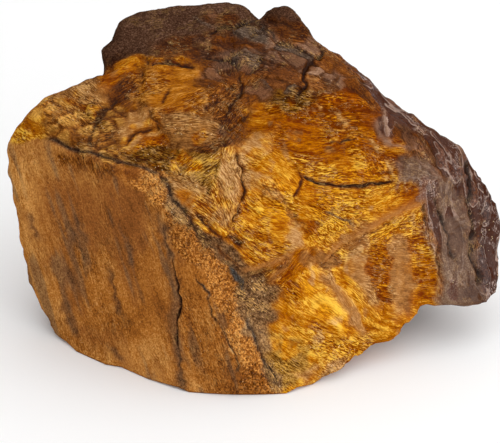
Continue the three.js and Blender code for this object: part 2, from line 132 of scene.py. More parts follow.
# Patches of the side that faces the camera: the middle, half length, half width and turn of each,
# the way that its fibres run, in degrees down to the right, its finish, and how light it is.
PATCHES = {
    # the joint face
    "joint rim": (22, 190, 60, 16, 84, 84, "ochre", 0.9),
    "joint low rim": (38, 275, 45, 14, 60, 70, "ochre", 0.78),
    "joint top left": (45, 155, 30, 14, 30, 75, "ochre", 0.84),
    "joint top": (95, 168, 34, 8, 12, 75, "umber", 0.52),
    "joint middle": (95, 225, 34, 42, 70, 72, "umber", 0.52),
    "joint right": (140, 240, 40, 20, 70, 72, "umber", 0.58),
    "joint low middle": (100, 300, 40, 30, 60, 72, "ochre", 0.56),
    "joint foot": (125, 355, 45, 14, 25, 72, "ochre", 0.92),
    "joint glow": (145, 344, 17, 8, -35, 72, "ochre", 0.88),
    "joint corner": (85, 335, 16, 10, 40, 72, "umber", 0.5),
    "joint seam": (171, 300, 75, 4, 84, 84, "umber", 0.5),
    "panel": (205, 335, 45, 18, 68, 68, "ochre", 0.42),
    "panel top": (190, 285, 22, 12, 50, 68, "ochre", 0.44),
    "panel end": (226, 372, 14, 8, 60, 68, "umber", 0.44),
    # the granular band
    "band top": (152, 190, 18, 9, 55, 50, "grit", 0.9),
    "band upper": (190, 243, 26, 11, 48, 50, "grit", 0.58),
    "band middle": (218, 288, 26, 11, 55, 50, "grit", 0.68),
    "band lower": (247, 345, 26, 8, 66, 60, "grit", 0.9),
    "band foot": (256, 382, 14, 10, 60, 60, "grit", 0.6),
    "band inner top": (180, 208, 16, 8, 45, 50, "crumb", 0.56),
    "band inner": (215, 248, 20, 7, 42, 40, "crumb", 0.46),
    "band blue": (237, 283, 12, 3.5, 58, 40, "ink", 0.55),
    "band mauve": (256, 300, 14, 24, 0, 40, "crumb", 0.5),
    "band grey": (252, 330, 24, 7, 62, 60, "crumb", 0.8),
    "band end": (271, 378, 14, 6, 60, 60, "crumb", 0.6),
    # the fibre beside the cap
    "shoulder": (122, 75, 22, 8, -26, -22, "silk", 0.34),
    "shoulder hollow": (126, 90, 14, 10, 60, -25, "rust", 0.2),
    "left crest": (85, 92, 22, 12, -25, 30, "sheen", 0.38),
    "left mottle": (60, 118, 26, 14, -15, 28, "clod", 0.66),
    "left gold": (32, 128, 20, 10, -25, 24, "silk", 0.66),
    "left lumps": (108, 130, 16, 14, 0, -15, "clod", 0.5),
    "left lumps low": (140, 128, 14, 9, -20, -15, "sheen", 0.66),
    "left dark": (98, 112, 18, 6, 70, -15, "moss", 0.26),
    "left gold low": (150, 140, 16, 5, -15, -15, "silk", 0.28),
    "left olive": (148, 156, 22, 9, 15, 15, "moss", 0.26),
    "left dusk": (85, 143, 30, 8, 15, 10, "clod", 0.34),
    # the petals
    "petal brow": (163, 60, 22, 5, 4, 6, "silk", 0.34),
    "petal": (168, 73, 34, 9, -2, -4, "petal", 0.38),
    "petal low": (158, 92, 24, 10, -10, -10, "petal", 0.37),
    "petal tongue": (188, 98, 24, 9, -14, -18, "petal", 0.28),
    "petal olive": (214, 80, 24, 13, 20, 20, "rust", 0.3),
    "petal amber": (222, 98, 16, 12, 0, -35, "rust", 0.4),
    "petal mauve": (186, 120, 26, 10, 6, 6, "sheen", 0.28),
    "petal mauve low": (200, 138, 24, 8, 5, 5, "sheen", 0.28),
    "trough": (231, 130, 9, 16, 30, -50, "rust", 0.1),
    "trough low": (213, 147, 16, 5, -20, -20, "rust", 0.14),
    # the shell and what is beside it
    "shell": (228, 185, 32, 10, 100, 62, "smooth sheen", 0.68),
    "shell gold": (224, 196, 17, 8, 75, 60, "silk", 0.5),
    "shell top": (234, 160, 12, 6, 60, 100, "sheen", 0.6),
    "moss top": (200, 168, 16, 12, -30, -32, "moss", 0.66),
    "moss low": (188, 190, 12, 12, 40, 35, "sheen", 0.5),
    "moss gold": (172, 167, 6, 5, 40, 40, "silk", 0.7),
    "shell foot": (205, 210, 12, 9, 30, 40, "sheen", 0.38),
    "inner gold": (212, 226, 20, 6, 36, 38, "silk", 0.64),
    "inner dark": (208, 238, 22, 5, 40, 38, "crumb", 0.2),
    "inner mix": (242, 245, 22, 10, 38, 36, "silk", 0.4),
    "inner brown": (232, 262, 18, 8, 40, 40, "crumb", 0.3),
    # the broad middle
    "mid olive": (252, 96, 22, 18, -40, -30, "rust", 0.3),
    "mid gold top": (246, 78, 12, 17, 0, -60, "rust", 0.32),
    "mid pale": (264, 115, 14, 8, 0, 5, "silk", 0.32),
    "mid amber": (298, 128, 24, 12, 4, 6, "silk", 0.24),
    "mid crown": (256, 148, 22, 8, -30, 28, "sheen", 0.62),
    "mid fibres": (272, 165, 32, 9, 28, 28, "silk", 0.6),
    "mid flecked": (264, 183, 24, 9, 28, 28, "sheen", 0.7),
    "mid block": (290, 192, 12, 10, 28, 30, "silk", 0.7),
    "upper amber": (345, 112, 36, 14, 2, 4, "amber", 0.1),
    "upper gold": (325, 145, 42, 11, 3, 4, "silk", 0.34),
    "upper gold right": (370, 150, 26, 16, 5, 4, "silk", 0.32),
    "above crack": (335, 170, 40, 8, 6, 8, "silk", 0.74),
    "above crack right": (385, 172, 16, 10, 0, 0, "silk", 0.48),
    "under crack": (345, 200, 40, 10, 6, 6, "silk", 0.62),
    "under crack right": (395, 195, 26, 10, -12, -12, "silk", 0.62),
    "flow": (262, 218, 30, 16, 26, 26, "silk", 0.62),
    "flow top": (318, 214, 32, 12, 26, 26, "silk", 0.54),
    "flow foot": (268, 244, 26, 9, 24, 26, "silk", 0.36),
    "flow right": (330, 238, 22, 8, 10, 26, "silk", 0.7),
    "flow dark": (310, 228, 12, 6, 45, 30, "amber", 0.12),
    "flow mauve": (299, 236, 12, 6, 75, 30, "smooth sheen", 0.8),
    # under the fork
    "fork knot": (328, 264, 9, 6, 0, 30, "sheen", 0.26),
    "fork web": (284, 268, 20, 7, -38, -38, "silk", 0.32),
    "ember": (290, 285, 14, 9, 35, 34, "silk", 0.26),
    "bright lobe": (318, 298, 30, 14, 40, 38, "silk", 0.98),
    "lower fibres": (305, 325, 34, 9, 30, 30, "silk", 0.55),
    "lobe rim": (345, 305, 30, 4, 62, 60, "smooth sheen", 0.56),
    "olive fibres": (362, 305, 30, 8, 50, 38, "silk", 0.64),
    "upper fibres": (345, 280, 18, 8, 35, 35, "silk", 0.66),
    "tan fold": (362, 262, 26, 9, 85, 10, "smooth sheen", 0.52),
    "amber fold": (381, 275, 34, 9, 84, 5, "amber", 0.3),
    "tan fold right": (401, 278, 34, 8, 88, 5, "smooth sheen", 0.5),
    "amber fold right": (424, 268, 34, 12, 88, 0, "silk", 0.46),
    "fold top": (400, 226, 28, 9, -24, -20, "silk", 0.78),
    "fold foot": (385, 325, 24, 12, -35, 20, "silk", 0.7),
    "floor gold": (335, 350, 24, 9, -28, 26, "silk", 0.7),
    "floor mottle": (292, 358, 26, 14, 20, 26, "moss", 0.84),
    "floor tan": (315, 372, 22, 8, -20, 28, "sheen", 0.66),
    "floor fibres": (290, 338, 20, 7, 25, 28, "silk", 0.56),
    "floor end": (290, 385, 18, 6, 0, 20, "moss", 0.95),
    # the cap and the brow under it
    "cap": (160, 24, 60, 24, -10, -10, "hide", 0.45),
    "cap top": (220, 8, 30, 8, 5, 5, "hide", 0.5),
    "cap lobe": (106, 62, 18, 8, -58, 80, "hide", 0.3),
    "cap foot": (142, 45, 16, 6, -20, -10, "hide", 0.42),
    "brow dark": (190, 45, 36, 10, 8, 8, "rust", 0.02),
    "brow red": (222, 18, 18, 5, 5, 5, "rust", 0.0),
    "brow amber": (222, 40, 18, 7, 5, 5, "rust", 0.16),
    "brow grey": (228, 62, 12, 10, 0, 80, "plum", 0.1),
    "blue facet": (250, 31, 20, 7, 30, 30, "slate", 0.3),
    "under facet": (250, 46, 14, 6, 20, 20, "rust", 0.18),
    "knob": (281, 14, 16, 10, 0, 20, "hide", 0.28),
    "knob top": (280, 8, 10, 3, 0, 20, "slate", 0.56),
    # the mauve flats
    "flat left": (285, 45, 18, 10, 40, 30, "plum", 0.4),
    "flat low": (268, 62, 22, 9, 20, 20, "plum", 0.22),
    "flat rust": (288, 30, 14, 6, 10, 10, "rust", 0.12),
    "flat middle": (302, 58, 16, 8, -40, 30, "plum", 0.38),
    "flat grey": (278, 82, 16, 9, 10, 10, "plum", 0.44),
    "flat right": (325, 80, 16, 12, -30, 20, "plum", 0.62),
    "flat olive": (295, 98, 20, 9, 0, 10, "moss", 0.26),
    "flat edge": (340, 68, 18, 8, 45, 40, "rust", 0.42),
    "edge rust": (362, 95, 22, 9, 50, 45, "rust", 0.22),
    # the rind
    "rind crest": (395, 110, 34, 8, 45, 45, "varnish", 0.26),
    "rind drips": (384, 122, 22, 7, 80, 80, "varnish", 0.54),
    "rind red": (410, 135, 20, 10, 45, 60, "rust", 0.26),
    "rind red right": (436, 156, 18, 4, 60, 60, "rust", 0.26),
    "rind pool": (418, 170, 20, 9, 10, 10, "rind with painted reflection", 0.6),
    "rind shoulder": (452, 160, 24, 8, 50, 60, "varnish", 0.28),
    "rind waist": (430, 215, 34, 9, 82, 84, "varnish", 0.4),
    "rind slab": (458, 240, 44, 16, 82, 84, "rind with painted reflection", 0.54),
    "rind slab low": (452, 290, 16, 12, 0, 80, "rind with painted reflection", 0.64),
    "rind waves": (470, 200, 34, 7, 78, 80, "varnish", 0.28),
    "rind edge": (488, 245, 52, 9, 86, 86, "varnish", 0.02),
    "rind foot": (474, 292, 14, 6, 0, 60, "rind with painted reflection", 0.4),
}

# Strokes of the same side: where each runs, how wide it is, how high it stands in mm, or how deep
# it is cut where that is less than zero, its finish, and how light it is.
STROKES = {
    "fork left": ([(240, 272), (262, 267), (280, 260), (292, 252)], 4, 0.3, "ridge", 0.4),
    "fork right": ([(322, 262), (335, 248), (355, 235), (385, 218), (424, 200)],
                   4.5, 0.4, "ridge", 0.46),
    "fork spur": ([(268, 285), (282, 268), (292, 254)], 3.4, 0.35, "ridge", 0.14),
    "fork rim": ([(320, 274), (335, 288), (345, 304), (354, 320), (366, 336)],
                 4.5, 0.25, "smooth sheen", 0.46),
    "fork fold": ([(352, 250), (359, 268), (367, 288), (376, 308)], 7, 0.2, "smooth sheen", 0.56),
    "fork fold far": ([(402, 238), (399, 262), (401, 288), (398, 316)], 7, 0.2, "smooth sheen", 0.56),
    "fork edge": ([(320, 268), (333, 254), (352, 242), (368, 234), (392, 222)],
                  1.4, -0.2, "rust", 0.85),
    "fork edge left": ([(250, 276), (268, 272), (284, 266), (296, 258)], 1.4, -0.2, "rust", 0.5),
    "fork shade": ([(345, 250), (362, 240), (368, 250)], 3, -0.2, "ridge", 0.4),
    "long crack": ([(302, 176), (316, 182), (340, 187), (365, 186), (394, 181)],
                   2.5, -0.6, "ink", 0.45),
    "short crack": ([(300, 174), (298, 184), (292, 196)], 2.4, -0.3, "rust", 0),
    "slope crack": ([(262, 190), (272, 198), (286, 203), (296, 218), (305, 228)],
                    3.5, -0.15, "rust", 0.95),
    "nick crack": ([(262, 182), (268, 190)], 2.5, -0.2, "rust", 0.42),
    "blade crack": ([(325, 212), (340, 218), (355, 224)], 1.6, -0.35, "slate", 0.95),
    "hair crack": ([(330, 142), (350, 139), (362, 137)], 1.5, -0.3, "ink", 0.4),
    "shell edge": ([(236, 150), (242, 165), (240, 180), (243, 196), (236, 214), (232, 224)],
                   3, -0.4, "rust", 0.08),
    "shell side": ([(216, 160), (212, 180), (206, 200)], 2.4, -0.3, "moss", 0.8),
    "petal crack": ([(174, 86), (167, 94), (163, 104)], 2.6, -0.32, "rust", 0.36),
    "petal line": ([(150, 65), (165, 63), (185, 63), (196, 68)], 3.6, -0.5, "ink", 0.02),
    "petal valley": ([(148, 56), (142, 70), (138, 84), (134, 96)], 4, -0.32, "rust", 0.8),
    "petal foot": ([(140, 100), (152, 110), (158, 122), (160, 134)], 3.5, -0.32, "rust", 0.85),
    "hollow branch": ([(118, 98), (110, 108), (98, 116), (92, 130), (90, 146)],
                      4, -0.5, "rust", 0.5),
    "lump crack": ([(122, 150), (130, 140), (142, 132), (154, 128)], 3, -0.4, "rust", 0.26),
    "trough line": ([(243, 72), (240, 90), (232, 105), (226, 118)], 3.5, -0.5, "rust", 0.36),
    "trough end": ([(226, 128), (240, 122), (250, 112)], 4, -0.4, "rust", 0.55),
    "valley": ([(322, 46), (312, 62), (304, 80), (296, 98)], 4, -0.7, "rust", 0),
    "brow line": ([(212, 36), (222, 27), (238, 24), (246, 20)], 2.8, -0.4, "ink", 0.02),
    # The brow glint is a painted highlight.
    "brow glint": ([(193, 20), (204, 23), (214, 27)], 1.8, 0.2, "slate", 0.66),
    "brow shade": ([(205, 55), (220, 60), (236, 58)], 3, -0.4, "ink", 0.35),
    "facet edge": ([(232, 22), (250, 22), (268, 30), (274, 42)], 1.6, -0.3, "ink", 0.75),
    "knob foot": ([(262, 18), (275, 22), (290, 24), (302, 27)], 3, -0.4, "rust", 0.34),
    "joint top line": ([(48, 138), (75, 149), (110, 158), (140, 167), (160, 173)],
                       2.6, -0.3, "ink", 0.55),
    "joint rust line": ([(56, 156), (80, 163), (110, 169), (140, 178)], 7, -0.1, "rust", 0.6),
    "seam crack": ([(172, 258), (174, 280), (177, 300), (178, 325), (178, 348)],
                   1.1, -0.8, "ink", 0.12),
    "seam top": ([(163, 222), (166, 240), (171, 258)], 3, -0.3, "smoke", 0.42),
    "seam foot": ([(178, 348), (181, 368), (186, 384)], 2, -0.3, "smoke", 0.24),
    "panel line": ([(198, 276), (208, 300), (215, 318), (228, 340), (236, 358), (236, 376)],
                   1.8, -0.28, "ink", 0.6),
    "seam shade": ([(158, 212), (168, 250), (173, 300), (176, 350), (184, 384)],
                   6, -0.1, "smoke", 0.5),
    "streak one": ([(70, 228), (78, 250), (86, 280)], 3, -0.1, "smoke", 0.36),
    "streak two": ([(62, 300), (66, 318), (76, 332)], 4.5, -0.15, "smoke", 0.3),
    "streak three": ([(110, 270), (118, 300), (122, 318)], 3.6, -0.12, "smoke", 0.1),
    "streak four": ([(26, 212), (32, 226), (38, 240)], 3, -0.15, "smoke", 0.34),
    "streak five": ([(122, 235), (130, 250), (132, 268)], 3, -0.1, "smoke", 0.4),
    "streak six": ([(110, 345), (118, 358), (122, 366)], 3, -0.15, "smoke", 0.44),
    "streak seven": ([(78, 215), (82, 235), (84, 250)], 4, -0.05, "smoke", 0.5),
    "band rim": ([(160, 172), (172, 192), (186, 214), (196, 232)], 3, -0.3, "ink", 0.45),
    "band rim low": ([(246, 318), (256, 338), (264, 360), (278, 384)], 2.4, -0.4, "ink", 0.8),
    "inner crack": ([(196, 214), (210, 230), (230, 238), (246, 246)], 3, -0.4, "rust", 0.14),
    "inner crack low": ([(214, 244), (226, 256), (240, 268)], 3, -0.4, "rust", 0.7),
    # The rind's film strokes, where they are pale, are painted highlights down its drips.
    "rind inlet": ([(376, 118), (380, 134), (392, 142), (408, 148)], 3, 0.4, "film with painted highlights", 0.44),
    "rind drip": ([(385, 106), (386, 120), (390, 136)], 2.4, 0.4, "film with painted highlights", 0.72),
    "rind drip right": ([(412, 142), (420, 158), (434, 172), (444, 178)], 2.6, 0.4, "film with painted highlights", 0.5),
    "rind tooth": ([(397, 160), (400, 176), (396, 190)], 2.4, 0.3, "film with painted highlights", 0.3),
    "rind tooth right": ([(404, 176), (408, 190)], 2.2, 0.3, "film with painted highlights", 1),
    "rind gloom": ([(400, 158), (412, 150), (426, 152)], 2.6, -0.3, "rust", 1),
    "rind border": ([(421, 202), (424, 220), (432, 244), (438, 268), (440, 302)],
                    2.6, -0.35, "rust", 0.8),
    "rind fold": ([(434, 198), (438, 214), (448, 236), (452, 262)], 2.6, -0.4, "ink", 0.7),
    "rind wave": ([(456, 150), (458, 172), (464, 196), (468, 226), (466, 250)],
                  1.8, 0.45, "film with painted highlights", 0.02),
    "rind wave far": ([(470, 170), (478, 196), (480, 226), (476, 250)], 1.2, 0.1, "rust", 0.1),
    "rind cleft": ([(462, 160), (470, 190), (473, 226), (472, 260), (480, 285)],
                   2.6, -0.5, "ink", 0.4),
    # The glint strokes are painted highlights.
    "glint one": ([(318, 104), (322, 112)], 3, 0.2, "sheen", 1),
    "glint two": ([(332, 115), (340, 118), (344, 130)], 2.8, 0.25, "sheen", 0.9),
    "glint three": ([(362, 137), (372, 141), (380, 148)], 2.6, 0.2, "sheen", 0.45),
    "glint four": ([(386, 160), (392, 168), (393, 176)], 2, 0.2, "sheen", 0.84),
}

# Patches of the sides that the camera doesn't see: the middle in mm, the reach, the way that the
# fibres run, the finish, and how light each is.
SIDES = {
    "left edge": ((-46, 2, 24), 12, (0, 0.2, 1), "ochre", 0.5),
    "left back": ((-32, 20, 28), 14, (0.3, 0.3, 1), "umber", 0.42),
    "left low": ((-38, 2, 4), 10, (1, 1, 0), "ochre", 0.36),
    "cap back": ((-18, 20, 46), 14, (1, 0.3, 0), "hide", 0.42),
    "crown": ((6, 24, 48), 11, (1, 0, 0), "hide", 0.34),
    "back silk": ((-6, 30, 22), 15, (1, 0.1, 0.5), "silk", 0.46),
    "back tan": ((-20, 28, 12), 10, (1, 0.2, 0.5), "sheen", 0.4),
    "back low": ((8, 26, 6), 11, (1, 0.1, 0.4), "umber", 0.34),
    "back rind": ((22, 22, 30), 13, (1, -0.5, 0.4), "varnish", 0.44),
    "right crest": ((26, 10, 42), 12, (1, -0.4, -0.6), "varnish", 0.4),
    "right end": ((46, 2, 22), 14, (0, 1, 0.3), "varnish", 0.3),
    "right low": ((34, 4, 8), 12, (0, 1, 0.2), "varnish", 0.38),
    "under front": ((12, -18, 2), 9, (1, -0.3, 0.2), "silk", 0.34),
    "under left": ((-26, -16, 2), 9, (1, 1, 0), "ochre", 0.34),
    "foot": ((-6, 0, 0), 16, (1, 0.4, 0), "umber", 0.34),
}

# Small swells of the outline: the middle of each in mm, how wide it is, and how high.
SWELLS = {
    "knob": ((4.8, 20.4, 52.4), 2.8, 2.3),
    "knob saddle": ((0.2, 21.6, 51), 2.2, -0.3),
    "knob flank": ((9.8, 18.2, 50), 2.4, 0.8),
    "cap lobe": ((-28, 14.2, 46.4), 2.4, 0.9),
    "cap notch": ((-27, 17.5, 48.4), 1.8, -0.5),
    "cap top": ((-6, 23.3, 52.6), 4.5, 0.8),
    "crest dip": ((12.2, 15.8, 49), 3.2, -0.9),
    "crest dip low": ((16, 13.6, 46.4), 3, -0.5),
    "left crest": ((-38, 6, 41.5), 8, 0.9),
    "left crest end": ((-29.5, 9, 45), 4, 0.6),
    "rind crest": ((26, 9, 40.5), 4.5, -1.5),
    "rind shoulder": ((37, 5, 31), 4.5, 1.4),
    "rind end": ((43.5, 1, 20), 4, 0.7),
}

# Soft patterns: how long, wide and deep their lumps are in mm, which random pattern each is, and
# how many times finer lumps are laid over them. Those of the joint face are in pixels, and flat.
PATTERNS = {
    "tatters": (2.6, 131, 3),
    "shreds": (4, 135, 3),
    "smear": ((95, 10, 1), 183, 3),
    "fine smear": ((30, 5, 1), 125, 2),
    "glow": ((60, 18, 1), 171, 3),
    "joint streak": ((40, 6, 1), 175, 3),
    "joint line": ((18, 3, 1), 177, 2),
    "shade": (9, 127, 2),
    "ragged": (1.5, 115, 3),
    "bundle": ((13, 4, 4.4), 31, 2),
    "strand": ((7, 1.5, 1.8), 35, 2),
    "thread": ((3.2, 0.62, 0.75), 39, 2),
    "drip": ((5.5, 1.7, 1.9), 161, 3),
    "vein": (5, 95, 3),
    "pit": (1.1, 101, 2),
    "deep pit": (0.9, 103, 1),
    "lump": (5, 105, 3),
    "edge lump": (2.2, 107, 2),
    "busy": (4.4, 143, 2),
}

# Things that break into pieces: how large these are in mm, and which random pattern each is.
PIECES = {
    "flake": ((7, 1.7, 2.2), 37),
    "grain": (0.36, 71),
    "chip": ((5.6, 2.8, 3.2), 151),
    "dish": (6.5, 81),
    "small dish": (2.73, 91),
}

# Strays from a straight edge: how long the waves are in mm, how far they go in pixels, and which
# random pattern each is.
PATCH_STRAYS = ((6, 6, 11), (2.2, 4, 13), (0.9, 2.4, 15))
STROKE_STRAYS = ((3, 3.5, 111), (1.1, 2.4, 113))

PATCH_EDGE = 6  # how sharp the edges between patches are
SOFT_EDGE = 2.5  # and between those of the matte finishes
MATTE_EDGE = 12  # how much sharper the matte finishes end at the others
MATTE = ("ochre", "umber", "smoke")
NEAT = ("fork", "joint", "long", "blade")  # the names of the straighter strokes start so
NEATNESS = 0.6
BREAKING = -0.25  # mm, the height below which a stroke is also a crack

CHIP_TURN = 36  # degrees that the chips' long sides run down to the right
SMEAR_ALONG = np.array([0.31, 0.95])  # the way that the smears run, right and down
SMEAR_ACROSS = np.array([0.95, -0.31])
STRETCH = 0.13  # how much the fibres' pattern is drawn out along them
APART = 17.3  # mm from one patch's place in that pattern to the next one's
BOW = 0.9  # mm that the fibres bend to and fro

FRONT_CUTS, BACK_CUTS = 6, 1  # new points along each edge of the solid's faces
WELD = 1e-7  # m, the gap that is closed between the solid's faces
IN_VIEW = 0.06  # how far a face has to turn to the camera to be cut as the front
SEEN = (0.02, 0.14)  # how far the surface turns to the camera where its patches fade in
FOOT_FLAT = 0.01  # mm, the height below which a face that looks down is the foot's
FOOT_LEVEL = 0.02  # mm, the height below which nothing is raised
FOOT_FADE = (0.2, 1.5)  # mm, the heights between which the relief fades in
ROUNDING = 10  # passes that soften the solid's own edges
PULL = 0.6  # how far each pass takes a point toward the middle of its neighbours
HOLLOWS = 14  # passes that find what stands above its surroundings
ROOM = 0.7  # mm that the relief may reach past the solid's box


# ---------------------------------------------------------------- patterns

def smooth(low, high, value):
    """0 at low and 1 at high, with an even rise between."""
    share = np.clip((value - low) / (high - low), 0, 1)
    return share * share * (3 - 2 * share)


def chance(cells, salt):
    """A fixed number from 0 to 1 for each whole-numbered cell. Each salt gives other numbers."""
    # The odd numbers only stir the bits.
    mixed = (cells * np.array([73856093, 19349663, 83492791])).sum(-1) + salt * 2654435761
    mixed = ((mixed ^ (mixed >> 13)) * 1274126177) & 0x7FFFFFFFFFFF
    return ((mixed ^ (mixed >> 17)) & 0xFFFFFF) / 0xFFFFFF


def clouds(points, size, salt, octaves=1):
    """Soft lumps from -1 to 1, a given size across."""
    total = np.zeros(len(points))
    for octave in range(octaves):
        spot = points / np.array(size) * 2**octave
        cell = np.floor(spot).astype(np.int64)
        share = spot - cell
        share = share * share * (3 - 2 * share)
        for corner in product((0, 1), repeat=3):
            weight = np.where(corner, share, 1 - share).prod(-1)
            lump = 2 * chance(cell + np.array(corner), salt + octave) - 1
            total += weight * lump / 2**octave
    return total / (2 - 0.5 ** (octaves - 1))


def pattern(points, name):
    """The soft pattern of that name, at each point."""
    return clouds(points, *PATTERNS[name])


def pieces(points, size, salt):
    """Each point's random piece, its place in it, and how far it is from the next one."""
    spot = points / np.array(size)
    cell = np.floor(spot).astype(np.int64)
    nearest = np.full(len(points), np.inf)
    second = nearest.copy()
    name = cell.copy()
    place = np.zeros_like(spot)
    for step in product((-1, 0, 1), repeat=3):
        other = cell + np.array(step)
        seed = other + np.stack([chance(other, salt + axis) for axis in range(3)], -1)
        gap = ((spot - seed) ** 2).sum(-1)
        closer = gap < nearest
        second = np.where(closer, nearest, np.minimum(second, gap))
        nearest = np.where(closer, gap, nearest)
        name[closer] = other[closer]
        place[closer] = (spot - seed)[closer]
    return name, place, np.sqrt(second) - np.sqrt(nearest)


def beside(points, path):
    """How far each point is from a path, and how far along it from the nearer end."""
    best = np.full(len(points), np.inf)
    run = np.zeros(len(points))
    length = 0
    for start, end in zip(np.array(path[:-1], float), np.array(path[1:], float)):
        along = end - start
        share = np.clip((points - start) @ along / (along @ along), 0, 1)
        gap = np.linalg.norm(points - start - share[:, None] * along, axis=1)
        run = np.where(gap < best, length + share * np.linalg.norm(along), run)
        best = np.minimum(best, gap)
        length += np.linalg.norm(along)
    return best, np.minimum(run, length - run)


def turned(x, y, degrees):
    """The same offsets, as seen along a line that runs so many degrees down to the right."""
    turn = radians(degrees)
    return x * cos(turn) + y * sin(turn), y * cos(turn) - x * sin(turn)


# ---------------------------------------------------------------- the stone's mesh

def facings(points, faces):
    """Each face's outward direction, as long as twice its area."""
    a, b, c = points[faces].transpose(1, 0, 2)
    return np.cross(b - a, c - a)


def unit(vectors):
    return vectors / np.maximum(np.linalg.norm(vectors, axis=-1, keepdims=True), 1e-12)


def outward(points, faces):
    """The direction straight out of the surface at each point."""
    total = np.zeros_like(points)
    for corner in range(3):
        np.add.at(total, faces[:, corner], facings(points, faces))
    return unit(total)


def relaxed(values, faces, passes):
    """The same values, evened out with those of the neighbouring points."""
    sides = np.concatenate([faces[:, [0, 1]], faces[:, [1, 2]], faces[:, [2, 0]]])
    start, end = sides.T
    count = np.bincount(start, minlength=len(values))
    for _ in range(passes):
        total = np.zeros_like(values)
        for axis in range(values.shape[1]):
            total[:, axis] = np.bincount(start, values[end, axis], minlength=len(values))
        values = values + PULL * (total / count[:, None] - values)
    return values


def fine_mesh(node):
    """The node's own surface in mm, cut finely, and most finely where the camera sees it."""
    mesh = bmesh.new()
    mesh.from_mesh(node.data)
    bmesh.ops.remove_doubles(mesh, verts=mesh.verts, dist=WELD)
    bmesh.ops.scale(mesh, vec=(MM, MM, MM), verts=mesh.verts)
    mesh.normal_update()
    in_view = {face for face in mesh.faces if face.normal.dot(TO_CAMERA) > IN_VIEW}
    foot = {face for face in mesh.faces
            if face.normal.z < -0.999 and face.calc_center_median().z < FOOT_FLAT}
    front = [edge for edge in mesh.edges if in_view.intersection(edge.link_faces)]
    back = [edge for edge in mesh.edges
            if not in_view.intersection(edge.link_faces) and not foot.issuperset(edge.link_faces)]
    bmesh.ops.subdivide_edges(mesh, edges=front, cuts=FRONT_CUTS, use_grid_fill=True)
    back = [edge for edge in back if edge.is_valid]
    bmesh.ops.subdivide_edges(mesh, edges=back, cuts=BACK_CUTS, use_grid_fill=True)
    bmesh.ops.triangulate(mesh, faces=mesh.faces)
    mesh.verts.index_update()
    points = np.array([vert.co for vert in mesh.verts])
    faces = np.array([[vert.index for vert in face.verts] for face in mesh.faces])
    mesh.free()
    return points, faces


points, faces = fine_mesh(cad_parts["tigers_eye_stone"])
standing = smooth(*FOOT_FADE, points[:, 2])
points = points + (relaxed(points, faces, ROUNDING) - points) * standing[:, None]
normals = outward(points, faces)
flat = np.zeros(len(points))

# Where each point is in the picture, in pixels.
to_point = points - EYE
scale = LENS / SENSOR * WIDTH / -(to_point @ TO_CAMERA)
picture = np.stack([WIDTH / 2 + scale * (to_point @ PICTURE_RIGHT),
                    HEIGHT / 2 - scale * (to_point @ PICTURE_UP)], -1)
facing = (normals * unit(-to_point)).sum(-1)
seen = smooth(*SEEN, facing)

# ---------------------------------------------------------------- which patch each point is in

Patch = namedtuple("Patch", "x y length width turn grain finish tone")
Side = namedtuple("Side", "middle reach direction finish tone")
patches = [Patch(*row) for row in PATCHES.values()]
sides = [Side(*row) for row in SIDES.values()]


def strayed(size, far, salt):
    """How far the patches' edges stray at each point, in pixels both ways."""
    return far * np.stack([clouds(points, size, salt), clouds(points, size, salt + 1)], -1)


wander = sum(strayed(*row) for row in PATCH_STRAYS)
sway = wander[:, [0, 1, 0]]  # the same straying for places in mm, which take a share of it
loose = picture + wander

near = []
for patch in patches:
    along, across = turned(loose[:, 0] - patch.x, loose[:, 1] - patch.y, patch.turn)
    near.append(np.hypot(along / patch.length, across / patch.width))
near = np.array(near)
nearest = near.argmin(0)
matte = np.array([patch.finish in MATTE for patch in patches])
edge = np.where(matte[nearest], SOFT_EDGE, PATCH_EDGE)
barrier = MATTE_EDGE * (matte[:, None] != matte[nearest])
shares = np.exp(-(edge + barrier) * (near - near.min(0)))
shares /= shares.sum(0)

far = np.array([np.linalg.norm(points - np.array(side.middle) + 0.4 * sway, axis=1) / side.reach
                for side in sides])
side_shares = np.exp(-PATCH_EDGE * (far - far.min(0)))
side_shares /= side_shares.sum(0)

all_shares = np.concatenate([shares * seen, side_shares * (1 - seen)])
finish_names = list(FINISHES)
patch_finish = np.array([finish_names.index(patch.finish) for patch in patches + sides])
mix = np.array([all_shares[patch_finish == k].sum(0) for k in range(len(finish_names))])
tone = np.array([patch.tone for patch in patches + sides]) @ all_shares


def turn_into(name, other, share, low, high, values):
    """Turns a share of one finish into another, as some values go from low to high."""
    part = mix[finish_names.index(name)] * (share * smooth(low, high, values))
    mix[finish_names.index(name)] -= part
    mix[finish_names.index(other)] += part


# The finishes of the fibre run into each other in tatters.
tatters = pattern(points, "tatters")
shreds = pattern(points, "shreds")
turn_into("sheen", "silk", 0.8, -0.1, 0.3, tatters)
turn_into("moss", "silk", 1, -0.05, 0.3, tatters)
turn_into("smooth sheen", "silk", 0.5, 0.1, 0.35, tatters)
turn_into("silk", "sheen", 0.8, 0.3, 0.55, -tatters)
turn_into("rind with painted reflection", "varnish", 1, 0.15, 0.35, shreds)
turn_into("silk", "amber", 1, 0.05, 0.35, shreds)

# The flats and what is round them break into chips.
slant = points + 0.1 * sway
slant = np.stack([*turned(slant[:, 0], -slant[:, 2], CHIP_TURN), slant[:, 1]], -1)
chip, chip_place, chip_gap = pieces(slant, *PIECES["chip"])
draw = chance(chip, 155)
turn_into("plum", "rust", 0.85, 0.74, 0.78, draw)
turn_into("plum", "slate", 0.85, 0.2, 0.16, draw)
turn_into("slate", "rust", 0.85, 0.66, 0.7, draw)
turn_into("rust", "plum", 0.7, 0.24, 0.2, draw)
turn_into("clod", "rust", 0.9, 0.3, 0.12, chip_gap + 0.15 * tatters)
turn_into("plum", "rust", 0.7, 0.12, 0.04, chip_gap)

